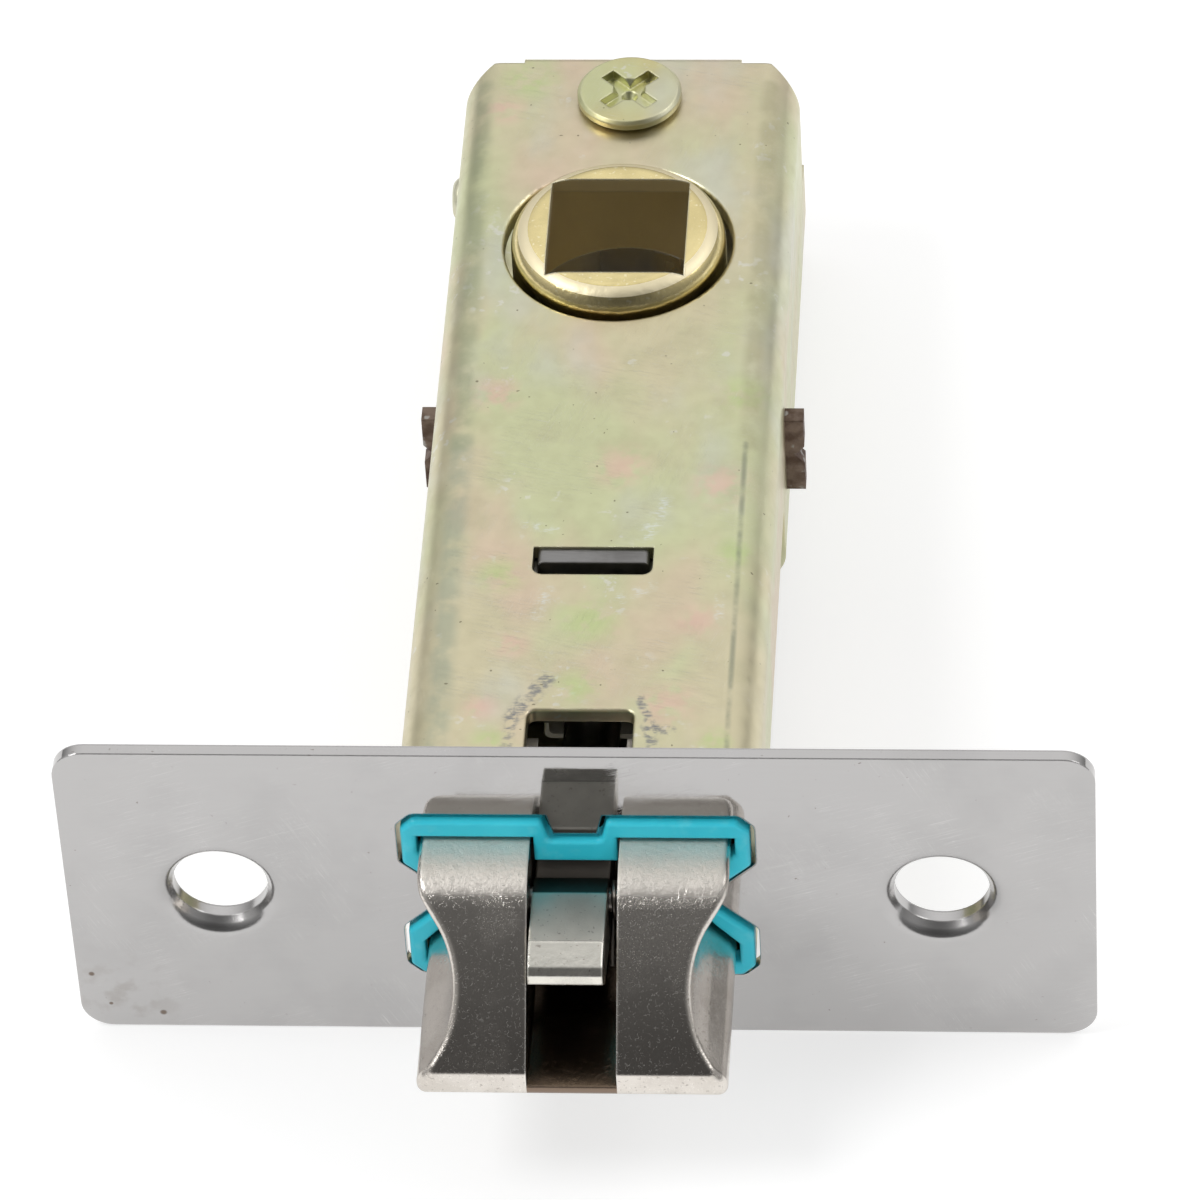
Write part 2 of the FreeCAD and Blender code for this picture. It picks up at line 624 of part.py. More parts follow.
def spring_washer():
    """Washer that the latch spring pushes against the stem's shoulder."""
    body = new_body("spring_washer")
    slab(body, "Washer", "XZ_Plane", washer_front, spring_front, circles=[(zero, zero, washer_radius)])
    slab(body, "Bore", "XZ_Plane", washer_front, spring_front,
         circles=[(zero, zero, stem_neck + stem_play)], cut=True)
    return body


def stem_clip():
    """Open clip in the stem's groove, behind the washer."""
    body = new_body("stem_clip")
    back = spring_front + clip_thick
    slab(body, "Clip", "XZ_Plane", spring_front, back, circles=[(zero, zero, clip_radius)])
    slab(body, "Bore", "XZ_Plane", spring_front, back, circles=[(zero, zero, groove_radius)], cut=True)
    slab(body, "Mouth", "XZ_Plane", spring_front, back,
         [rectangle(-stem_neck / 2, -clip_radius - margin, stem_neck / 2, zero)], cut=True)
    return body


def latch_spring():
    """Compression spring between the washer and the rear cross plate."""
    wire = spring_wire.value
    length = (seat_front - spring_front).value - wire
    coil = Part.makeHelix(length / spring_turns.value, length, spring_radius.value)
    start = FreeCAD.Vector(spring_radius.value, 0, 0)
    spring = doc.addObject("Part::Feature", "latch_spring")
    spring.Label = "latch_spring"
    spring.Shape = wire_along(coil.Edges, start, FreeCAD.Vector(0, 1, 0), wire / 2)
    place = FreeCAD.Vector(0, (spring_front + spring_wire / 2).value, 0)
    spring.Placement = FreeCAD.Placement(place, FreeCAD.Rotation(FreeCAD.Vector(1, 0, 0), -90))
    return spring


def cross_plate_outline(half, height, cut):
    """A plate with cut corners that clear the case's bends."""
    return [(half - cut, -height), (half, cut - height), (half, height - cut), (half - cut, height),
            (cut - half, height), (-half, height - cut), (-half, cut - height), (cut - half, -height)]


def front_cross_plate():
    """Plate that guides the stem and whose tabs are staked in both faces of the case."""
    body = new_body("front_cross_plate")
    half = inner_half - front_narrow - cross_side_gap
    slab(body, "Plate", "XZ_Plane", cross_front, cross_back,
         [cross_plate_outline(half, inner_top - cross_side_gap, inner_bend)])
    tab_half = tab_width / 2
    reach = case_top - tab_sunk
    slab(body, "Tabs", "XZ_Plane", cross_front, cross_back,
         [rectangle(-tab_half, -reach, tab_half, reach)])
    rounded(body, "TabEnds", tab_round, edges_of(body, axis=1, x=(tab_half, -tab_half), z=(reach, -reach)))
    slab(body, "StemBore", "XZ_Plane", cross_front, cross_back,
         circles=[(zero, zero, stem_radius + stem_play)], cut=True)
    return body


def rear_cross_plate():
    """Spring seat whose ears pass through both side walls and are staked outside."""
    body = new_body("rear_cross_plate")
    half = inner_half - cross_side_gap
    slab(body, "Plate", "XZ_Plane", seat_front, seat_back,
         [cross_plate_outline(half, inner_top - cross_side_gap, inner_bend)])
    ear_end = half_case + ear_out
    slab(body, "Ears", "XZ_Plane", seat_front, seat_back,
         [rectangle(-ear_end, -ear_half, ear_end, ear_half)])
    notch_low = fork_level - cross_side_gap
    notch_high = fork_level + fork_sheet + cross_side_gap
    notch_inner = rail_inner - cross_side_gap
    slab(body, "RailNotches", "XZ_Plane", seat_front, seat_back, [
        rectangle(notch_inner, notch_low, half + margin, notch_high),
        rectangle(-half - margin, notch_low, -notch_inner, notch_high)], cut=True)
    slab(body, "StemBore", "XZ_Plane", seat_front, seat_back,
         circles=[(zero, zero, stem_radius + stem_play)], cut=True)
    split_half = ear_half / 4
    split_tip = ear_end - ear_out / 2
    slab(body, "StakeMarks", "XZ_Plane", seat_front, seat_back, [
        [(ear_end, -split_half), (ear_end + margin, zero), (ear_end, split_half), (split_tip, zero)],
        [(-ear_end, split_half), (-ear_end - margin, zero), (-ear_end, -split_half), (-split_tip, zero)],
    ], cut=True)
    return body


def retractor_fork():
    """Folded fork: a web round the stem, two rails beside the hub, and a hook behind each cam arm."""
    body = new_body("retractor_fork")
    rail_top = fork_level + fork_sheet
    slab(body, "Rails", "XY_Plane", fork_level, rail_top, [[
        (-fork_half, fork_web_front), (fork_half, fork_web_front), (fork_half, hook_back),
        (rail_inner, hook_back), (rail_inner, fork_web_back), (-rail_inner, fork_web_back),
        (-rail_inner, hook_back), (-fork_half, hook_back)]])
    web_half = washer_radius
    slab(body, "Web", "XZ_Plane", fork_web_front, fork_web_back,
         [rectangle(-web_half, -stem_head - fork_web, web_half, rail_top)])
    slab(body, "Hooks", "XY_Plane", -cam_half, fork_level + fork_sheet / 2, [
        rectangle(hook_inner, hook_front, fork_half, hook_back),
        rectangle(-fork_half, hook_front, -hook_inner, hook_back)])
    slab(body, "StemBore", "XZ_Plane", fork_web_front, fork_web_back,
         circles=[(zero, zero, stem_radius + stem_play)], cut=True)
    return body


def hub_cup(label, side):
    """Drawn cup with a square hole: the upper one on side 1, the lower one on side -1."""
    body = new_body(label)
    face = hub_face * side
    inside = (hub_face - hub_face_thick) * side
    edge = cam_half * side
    turned(body, "Cup", "YZ_Plane", (backset, zero, zero), [
        (hub_bore, edge), (hub_radius, edge), (hub_radius, face), (zero, face), (zero, inside),
        (hub_bore, inside)])
    rounded(body, "Dome", hub_dome, edges_of(body, z=(face,)))
    half = spindle / 2
    square = rectangle(-half, backset - half, half, backset + half)
    low, high = (inside, face) if side > 0 else (face, inside)
    slab(body, "Square", "XY_Plane", low, high, [square], cut=True)
    return body


def cam_arm(side):
    """One arm of the cam: its corner leads, and the pushing edge falls away from it."""
    ring = cam_ring - hub_wall / 2
    corners = []
    for radius, angle in ((ring, cam_angle + cam_undercut), (cam_reach, cam_angle),
                          (cam_reach, cam_angle + cam_spread), (ring, cam_angle + cam_root)):
        corners.append((side * radius * cosine(angle), backset - radius * sine(angle)))
    return corners


def hub_cam():
    """Steel plate between the cups whose arms push the fork."""
    body = new_body("hub_cam")
    slab(body, "Ring", "XY_Plane", -cam_half, cam_half, circles=[(zero, backset, cam_ring)])
    for number, side in enumerate((1, -1), start=1):
        slab(body, f"Arm{number}", "XY_Plane", -cam_half, cam_half, [cam_arm(side)])
    slab(body, "Bore", "XY_Plane", -cam_half, cam_half, circles=[(zero, backset, hub_bore)], cut=True)
    return body


def channel(half, top, base):
    """Section of a folded channel whose web lies at the top, or at the bottom where top is negative."""
    inside = top - case_wall if top.value > 0 else top + case_wall
    inner = half - case_wall
    return [(half, base), (half, top), (-half, top), (-half, base),
            (-inner, base), (-inner, inside), (inner, inside), (inner, base)]


def bends(body, name, half, top):
    inside = top - case_wall if top.value > 0 else top + case_wall
    inner = half - case_wall
    rounded(body, name + "Outer", case_bend, edges_of(body, axis=1, x=(half, -half), z=(top,)))
    rounded(body, name + "Inner", inner_bend, edges_of(body, axis=1, x=(inner, -inner), z=(inside,)))


def case_openings(body, side):
    """Hub hole, tab slot and hole for the rear screw or the post's foot, in one face of the case."""
    low, high = (inner_top, case_top) if side > 0 else (-case_top, -inner_top)
    tab_half = tab_slot_width / 2
    tab_slot = rectangle(-tab_half, tab_slot_front, tab_half, cross_back)
    slab(body, "HubHole", "XY_Plane", low, high, circles=[(zero, backset, hub_hole)], cut=True)
    rounded(body, "HubRim", hub_rim, edges_of(body, y=(backset,), z=(case_top * side,)))
    slab(body, "TabSlot", "XY_Plane", low, high, [tab_slot], cut=True)
    rounded(body, "TabSlotCorners", tab_slot_corner,
            edges_of(body, axis=2, x=(tab_half, -tab_half), y=(tab_slot_front,)))
    radius = screw_shank if side > 0 else post_rivet
    slab(body, "ScrewHole", "XY_Plane", low, high, circles=[(zero, rear_screw_place, radius)], cut=True)


def ear_notches(body, low, high):
    """Notches in the side walls for the rear cross plate's ears."""
    slab(body, "EarNotches", "XZ_Plane", seat_front, seat_back, [
        rectangle(inner_half - margin / 2, low, half_case + margin, high),
        rectangle(-half_case - margin, low, margin / 2 - inner_half, high)], cut=True)


def back_corners(body, low, high):
    """Cut corners at the back, where the flap is folded down."""
    outer = half_case + margin
    inner = half_case - corner_cut
    front = walls_back - corner_cut
    back = walls_back + margin
    slab(body, "BackCorners", "XY_Plane", low, high, [
        [(inner, walls_back), (half_case, front), (outer, front), (outer, back), (inner, back)],
        [(-inner, walls_back), (-half_case, front), (-outer, front), (-outer, back), (-inner, back)],
    ], cut=True)


def top_shell():
    """Upper channel of the case, with the window, the tab slot, the hub hole and the back flap."""
    body = new_body("top_shell")
    slab(body, "Channel", "XZ_Plane", case_front, walls_back, [channel(half_case, case_top, -seam_drop)])
    bends(body, "Bend", half_case, case_top)
    back_corners(body, -seam_drop - margin, case_top + margin)
    flap_half = flap_width / 2
    slab(body, "Flap", "YZ_Plane", -flap_half, flap_half,
         [[(flap_front, case_top), (flap_front, inner_top), (flap_inside, inner_top),
           (flap_inside, zero), (case_back, zero), (case_back, case_top)]])
    rounded(body, "FlapBend", flap_bend, edges_of(body, axis=0, y=(case_back,), z=(case_top,)))
    flange_half = half_case - case_bend
    slab(body, "Flange", "XZ_Plane", case_front, case_front + case_wall,
         [rectangle(-flange_half, inner_top + case_wall / 2, flange_half, case_top + flange_height)])
    window_half = window_width / 2
    slab(body, "Window", "XY_Plane", inner_top, case_top,
         [rectangle(-window_half, window_front, window_half, window_back)], cut=True)
    sides = (window_half, -window_half)
    rounded(body, "WindowCorners", window_corner, edges_of(body, axis=2, x=sides, y=(window_back,)))
    rounded(body, "WindowRim", window_rim, edges_of(body, axis=0, y=(window_back,), z=(case_top,)))
    case_openings(body, 1)
    ear_notches(body, -seam_drop - margin, ear_half + seam_gap)
    return body


def bottom_shell():
    """Lower channel of the case, narrower in front, with a lug that laps the seam at the back."""
    body = new_body("bottom_shell")
    seam = -seam_drop - seam_gap
    narrow = half_case - front_narrow
    slab(body, "FrontChannel", "XZ_Plane", case_front, joggle_place, [channel(narrow, -case_top, seam)])
    bends(body, "FrontBend", narrow, -case_top)
    overlap = joggle_place - case_wall
    slab(body, "RearChannel", "XZ_Plane", overlap, walls_back, [channel(half_case, -case_top, seam)])
    bends(body, "RearBend", half_case, -case_top)
    flap_half = flap_width / 2
    slab(body, "Flap", "YZ_Plane", -flap_half, flap_half,
         [[(flap_front, -case_top), (flap_front, -inner_top), (flap_inside, -inner_top),
           (flap_inside, -seam_gap), (case_back, -seam_gap), (case_back, -case_top)]])
    rounded(body, "FlapBend", flap_bend, edges_of(body, axis=0, y=(case_back,), z=(-case_top,)))
    flange_half = half_case - case_bend
    slab(body, "Flange", "XZ_Plane", case_front, case_front + case_wall,
         [rectangle(-flange_half, -case_top - flange_height, flange_half, -inner_top - case_wall / 2)])
    case_openings(body, -1)
    ear_notches(body, -ear_half - seam_gap, margin)
    lug_end = -half_case - lug_out
    lug = (case_back - lug_inset, seam - lug_radius / 3, lug_radius)
    slab(body, "Lug", "YZ_Plane", lug_end, -half_case, circles=[lug])
    rounded(body, "LugEdge", lug_round, edges_of(body, x=(lug_end,)))
    return body


def case_screw():
    """Flat screw with a cross recess that closes the back of the case."""
    body = new_body("case_screw")
    top = case_top + screw_head_thick
    tip = case_top - screw_length
    turned(body, "Screw", "YZ_Plane", (rear_screw_place, zero, zero), [
        (zero, top), (screw_head - screw_head_cut, top), (screw_head, top - screw_head_cut),
        (screw_head, case_top + screw_lift), (screw_seat, case_top), (screw_shank, case_top),
        (screw_shank, tip), (zero, tip)])
    thin = recess_width / 2
    long = recess_span / 2
    cross = [
        (-long, -thin), (-thin, -thin), (-thin, -long), (thin, -long), (thin, -thin), (long, -thin),
        (long, thin), (thin, thin), (thin, long), (-thin, long), (-thin, thin), (-long, thin)]
    slant = root(Size(0.5, "0.5"))
    recess = [((across - along) * slant, rear_screw_place + (across + along) * slant)
              for across, along in cross]
    slab(body, "Recess", "XY_Plane", top - recess_depth, top, [recess], cut=True)
    turned(body, "RecessCore", "YZ_Plane", (rear_screw_place, zero, zero), [
        (zero, top), (recess_core, top), (zero, top - recess_depth * 2)], cut=True)
    return body


def screw_post():
    """Threaded post, riveted into the lower shell, that takes the rear screw."""
    body = new_body("screw_post")
    thread_end = inner_top - screw_length - margin / 2
    turned(body, "Post", "YZ_Plane", (rear_screw_place, zero, zero), [
        (screw_shank, inner_top), (post_radius, inner_top), (post_radius, -inner_top),
        (post_rivet, -inner_top), (post_rivet, -case_top), (zero, -case_top),
        (zero, thread_end), (screw_shank, thread_end)])
    return body


pieces = [
    faceplate(),
    bolt_guide(),
    latch_bolt(),
    anti_friction_lever(),
    lever_pin(),
    lever_spring(),
    bolt_stem(),
    spring_washer(),
    stem_clip(),
    latch_spring(),
    front_cross_plate(),
    rear_cross_plate(),
    retractor_fork(),
    hub_cup("hub_upper_cup", 1),
    hub_cup("hub_lower_cup", -1),
    hub_cam(),
    top_shell(),
    bottom_shell(),
    case_screw(),
    screw_post(),
]

doc.recompute()
for item in doc.Objects:
    faults = [state for state in item.State if state in ("Invalid", "Error")]
    if faults:
        raise RuntimeError(f"{item.Name} has failed: {faults}")
for piece in pieces:
    if piece.Shape.isNull() or not piece.Shape.isValid():
        steps = [step for step in getattr(piece, "Group", []) if hasattr(step, "Shape")]
        unsound = [step.Name for step in steps if not step.Shape.isNull() and not step.Shape.isValid()]
        raise RuntimeError(f"{piece.Label} has no sound shape: {unsound}")

for piece in pieces:
    piece.Shape.exportStep(f"parts/{piece.Label}.step")
    box = piece.Shape.BoundBox
    print(piece.Label, len(piece.Shape.Solids), round(piece.Shape.Volume, 2),
          [round(value, 2) for value in (box.XMin, box.XMax, box.YMin, box.YMax, box.ZMin, box.ZMax)])
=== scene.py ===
import bpy
import math
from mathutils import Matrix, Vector


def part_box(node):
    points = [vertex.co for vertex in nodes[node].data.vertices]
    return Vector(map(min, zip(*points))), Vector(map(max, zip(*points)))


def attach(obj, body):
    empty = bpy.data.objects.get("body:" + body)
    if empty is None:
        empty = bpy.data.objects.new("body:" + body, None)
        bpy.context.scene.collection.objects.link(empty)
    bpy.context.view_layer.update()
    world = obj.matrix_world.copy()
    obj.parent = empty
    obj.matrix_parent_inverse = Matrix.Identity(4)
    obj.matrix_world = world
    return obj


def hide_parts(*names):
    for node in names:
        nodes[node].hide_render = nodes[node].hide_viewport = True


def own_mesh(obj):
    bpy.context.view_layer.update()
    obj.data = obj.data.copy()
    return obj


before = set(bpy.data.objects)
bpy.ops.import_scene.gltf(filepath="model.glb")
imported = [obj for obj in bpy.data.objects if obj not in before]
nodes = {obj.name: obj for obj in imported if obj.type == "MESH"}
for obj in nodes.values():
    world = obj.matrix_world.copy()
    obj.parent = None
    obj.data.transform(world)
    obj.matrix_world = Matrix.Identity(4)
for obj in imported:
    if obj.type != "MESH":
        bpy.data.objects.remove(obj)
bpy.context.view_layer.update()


# Faceplate: a stamped strip of satin stainless steel with two pressed screw seats.
# Its face keeps a dull mirror finish, with hairlines from handling and a few specks of
# tarnish near its edges.

def step(finish, kind, inputs, **settings):
    """Adds one shading node to a finish and fills its sockets with values or other nodes' outputs."""
    made = finish.node_tree.nodes.new("ShaderNode" + kind)
    for name, value in settings.items():
        setattr(made, name, value)
    for socket, value in inputs.items():
        if isinstance(value, bpy.types.NodeSocket):
            finish.node_tree.links.new(value, made.inputs[socket])
        else:
            made.inputs[socket].default_value = value
    return made


def new_finish(name, metallic):
    """A finish, its shader, and each point's place on the part in metres."""
    finish = bpy.data.materials.new(name)
    finish.use_nodes = True
    shader = finish.node_tree.nodes["Principled BSDF"]
    shader.inputs["Metallic"].default_value = metallic
    place = step(finish, "TexCoord", {}).outputs["Object"]
    return finish, shader, place


def times(finish, first, second):
    return step(finish, "Math", {0: first, 1: second}, operation="MULTIPLY").outputs[0]


def minus(finish, first, second):
    return step(finish, "Math", {0: first, 1: second}, operation="SUBTRACT").outputs[0]


def most(finish, first, second):
    return step(finish, "Math", {0: first, 1: second}, operation="MAXIMUM").outputs[0]


def under(finish, value, limit):
    """1 where the value is less than the limit, 0 elsewhere."""
    return step(finish, "Math", {0: value, 1: limit}, operation="LESS_THAN").outputs[0]


def unsigned(finish, value):
    return step(finish, "Math", {0: value}, operation="ABSOLUTE").outputs[0]


def coordinate(finish, vector, axis):
    return step(finish, "SeparateXYZ", {"Vector": vector}).outputs[axis]


def length_of(finish, vector):
    return step(finish, "VectorMath", {0: vector}, operation="LENGTH").outputs["Value"]


def shifted(finish, place, shift):
    return step(finish, "VectorMath", {0: place, 1: shift}, operation="ADD").outputs[0]


def stretched(finish, place, factors):
    return step(finish, "VectorMath", {0: place, 1: factors}, operation="MULTIPLY").outputs[0]


def ramp(finish, value, low, high, start=0.0, end=1.0, curve="LINEAR"):
    """Goes from start to end as the value goes from low to high, and stays there beyond."""
    inputs = {"Value": value, "From Min": low, "From Max": high, "To Min": start, "To Max": end}
    return step(finish, "MapRange", inputs, interpolation_type=curve).outputs["Result"]


def noise(finish, place, scale, detail, roughness=0.5):
    """A random grain between 0 and 1."""
    inputs = {"Vector": place, "Scale": scale, "Detail": detail, "Roughness": roughness}
    return step(finish, "TexNoise", inputs).outputs["Fac"]


def cloud(finish, place, scale, detail=3.0, low=0.4, high=0.6):
    """Soft patches: 0 where the noise is under low, 1 where it is over high."""
    return ramp(finish, noise(finish, place, scale, detail), low, high, curve="SMOOTHSTEP")


def crossing(finish, place, scale, detail, width):
    """Fine curved lines, where a noise crosses its middle."""
    off_middle = unsigned(finish, minus(finish, noise(finish, place, scale, detail), 0.5))
    return ramp(finish, off_middle, width, 0.0)


def scratches(finish, place, turn, length, width, cover):
    """Fine straight marks that run one way, broken up into groups that cover a share of the surface."""
    turned = step(finish, "Mapping", {"Vector": place, "Rotation": turn}, vector_type="POINT").outputs[0]
    line = crossing(finish, stretched(finish, turned, (1 / length, 1 / width, 1 / width)), 1.0, 1.0, 0.012)
    groups = cloud(finish, place, 0.7 / length, 2.0, 0.62 - cover * 0.3, 0.72 - cover * 0.3)
    return times(finish, line, groups)


def flecks(finish, place, scale, width, low, high):
    """Short curved nicks, kept only in scattered places."""
    line = crossing(finish, place, scale, 1.5, width)
    return times(finish, line, cloud(finish, place, scale * 1.3, 1.0, low, high))


def beside_line(finish, place, start, end, full, none):
    """1 within one distance of a line on the part, 0 beyond another. Start and end may be one spot."""
    course = Vector(end) - Vector(start)
    offset = step(finish, "VectorMath", {0: place, 1: start}, operation="SUBTRACT").outputs[0]
    if course.length > 0:
        share = tuple(course / course.length_squared)
        gone = step(finish, "VectorMath", {0: offset, 1: share}, operation="DOT_PRODUCT").outputs["Value"]
        held = step(finish, "Clamp", {"Value": gone}).outputs[0]
        foot = step(finish, "VectorMath", {0: tuple(course), "Scale": held}, operation="SCALE").outputs[0]
        offset = step(finish, "VectorMath", {0: offset, 1: foot}, operation="SUBTRACT").outputs[0]
    return ramp(finish, length_of(finish, offset), none, full, curve="SMOOTHSTEP")


def round_spot(finish, place, spot, full, none):
    """1 near a spot on the part, 0 farther off."""
    return beside_line(finish, place, spot, spot, full, none)


def edge_wear_and_highlight(finish, width, low=0.01, high=0.12):
    """1 along sharp edges, where the finish is painted paler, both as plating worn bright by handling and as
    a painted highlight on the edge's rounding, and 0 on the flats.
    """
    rounded = step(finish, "Bevel", {"Radius": width}, samples=4).outputs[0]
    flat = step(finish, "NewGeometry", {}).outputs["Normal"]
    agree = step(finish, "VectorMath", {0: rounded, 1: flat}, operation="DOT_PRODUCT").outputs["Value"]
    return ramp(finish, agree, 1.0 - low, 1.0 - high)


def mixed(finish, share, first, second):
    """Colour that goes from the first to the second as the share goes from 0 to 1."""
    return step(finish, "Mix", {0: share, 6: first, 7: second}, data_type="RGBA").outputs[2]


def coated(finish, tone, *coats):
    """Lays coats over a colour, one after the other. Each has its mask, its strength and its colour."""
    for mask, strength, colour in coats:
        tone = mixed(finish, times(finish, mask, strength), tone, colour)
    return tone


def raised(finish, shader, height, depth, strength, edge=0.00012):
    """Relief of the surface, over edges that are worn a little round."""
    worn = step(finish, "Bevel", {"Radius": edge}, samples=6).outputs[0]
    relief = step(finish, "Bump", {"Height": height, "Distance": depth, "Strength": strength, "Normal": worn})
    finish.node_tree.links.new(relief.outputs[0], shader.inputs["Normal"])


def toned(finish, shader, colour, rough):
    """Gives the shader a colour and a roughness that change over the surface."""
    finish.node_tree.links.new(colour, shader.inputs["Base Color"])
    finish.node_tree.links.new(rough, shader.inputs["Roughness"])


def dress(name, finish):
    """Gives a piece of the latch its finish."""
    slots = nodes[name].data.materials
    slots.clear()
    slots.append(finish)


screw_seat_from_middle = 0.020
seat_inner_reach, seat_outer_reach = 0.0034, 0.0040
smudged_corner = (-0.0262, 0.0, -0.0085)
tarnish_spots = (((-0.0277, 0.0, -0.0067), 0.00022),
                 ((-0.0239, 0.0, -0.0098), 0.00026),
                 ((-0.0268, 0.0, -0.0091), 0.00016))


def stainless_face():
    finish, shader, place = new_finish("stainless_faceplate", 1.0)
    grain = noise(finish, stretched(finish, place, (1.0, 22.0, 22.0)), 220.0, 5.0)
    rolled = noise(finish, place, 70.0, 2.0)
    hairs = most(finish, scratches(finish, place, (0.0, 0.35, 0.0), 0.006, 0.00007, 0.45),
                 scratches(finish, place, (0.0, -1.1, 0.0), 0.004, 0.00006, 0.3))
    dull = cloud(finish, place, 160.0, 4.0, 0.42, 0.68)
    specks = times(finish, cloud(finish, place, 3200.0, 2.0, 0.70, 0.76),
                   cloud(finish, place, 260.0, 2.0, 0.5, 0.62))
    smudge = times(finish, round_spot(finish, place, smudged_corner, 0.0005, 0.0050),
                   cloud(finish, place, 700.0, 4.0, 0.48, 0.66))
    stains = [(round_spot(finish, place, spot, size * 0.4, size), 0.8, (0.13, 0.085, 0.055, 1.0))
              for spot, size in tarnish_spots]
    steel = mixed(finish, dull, (0.485, 0.475, 0.470, 1.0), (0.450, 0.441, 0.437, 1.0))
    tarnished = coated(finish, steel,
                       (grain, 0.35, (0.510, 0.501, 0.496, 1.0)),
                       (hairs, 0.35, (0.72, 0.71, 0.70, 1.0)),
                       (specks, 0.6, (0.16, 0.12, 0.09, 1.0)),
                       (smudge, 0.35, (0.30, 0.27, 0.24, 1.0)),
                       *stains)
    aside = minus(finish, unsigned(finish, coordinate(finish, place, "X")), screw_seat_from_middle)
    from_seat = step(finish, "CombineXYZ", {"X": aside, "Z": coordinate(finish, place, "Z")}).outputs[0]
    seat = ramp(finish, length_of(finish, from_seat), seat_outer_reach, seat_inner_reach)
    rough = most(finish, ramp(finish, dull, 0.0, 1.0, 0.03, 0.06), ramp(finish, seat, 0.0, 1.0, 0.0, 0.20))
    toned(finish, shader, tarnished, rough)
    fine = minus(finish, grain, hairs)
    height = step(finish, "Math", {0: rolled, 1: 8.0, 2: fine}, operation="MULTIPLY_ADD").outputs[0]
    raised(finish, shader, height, 0.0000008, 0.6, 0.00015)
    return finish


dress("faceplate", stainless_face())


# Bolt guide: one injection moulding in teal nylon that lines the aperture and keeps the
# bolt quiet. Its face is smooth with a faint moulding texture and worn paler in small patches.

def teal_nylon():
    finish, shader, place = new_finish("teal_nylon", 0.0)
    flow = cloud(finish, place, 240.0, 4.0, 0.35, 0.7)
    paler_in_places = cloud(finish, place, 900.0, 3.0, 0.55, 0.75)
    body = mixed(finish, flow, (0.034, 0.640, 0.800, 1.0), (0.048, 0.700, 0.860, 1.0))
    worn = coated(finish, body, (paler_in_places, 0.25, (0.20, 0.80, 0.90, 1.0)))
    finish.node_tree.links.new(worn, shader.inputs["Base Color"])
    shader.inputs["Roughness"].default_value = 0.34
    shader.inputs["Subsurface Weight"].default_value = 0.12
    shader.inputs["Subsurface Radius"].default_value = (0.0003, 0.0006, 0.0008)
    raised(finish, shader, noise(finish, place, 5200.0, 3.0), 0.000012, 0.35, 0.00022)
    return finish


dress("bolt_guide", teal_nylon())


# Latch bolt: a zinc die casting, nickel plated, with fluted sides, a bevelled nose and a
# slot for the lever. The plating is hammered and scratched where the strike rubs it and
# coarse on the bolt's top. Painted light and shade lie on it too: the faces that look up are
# painted pale as a highlight, the bevel goes from painted light at its top to painted shade
# at its nose, and the slot's floor is painted dark brown as shade.

slot_floor, above_slot_floor = -0.0039, -0.0034
slot_half_width = 0.00248
# Heights on the bevel between which its colour goes from painted light to painted shade.
bevel_top, bevel_shade = 0.0038, -0.0020


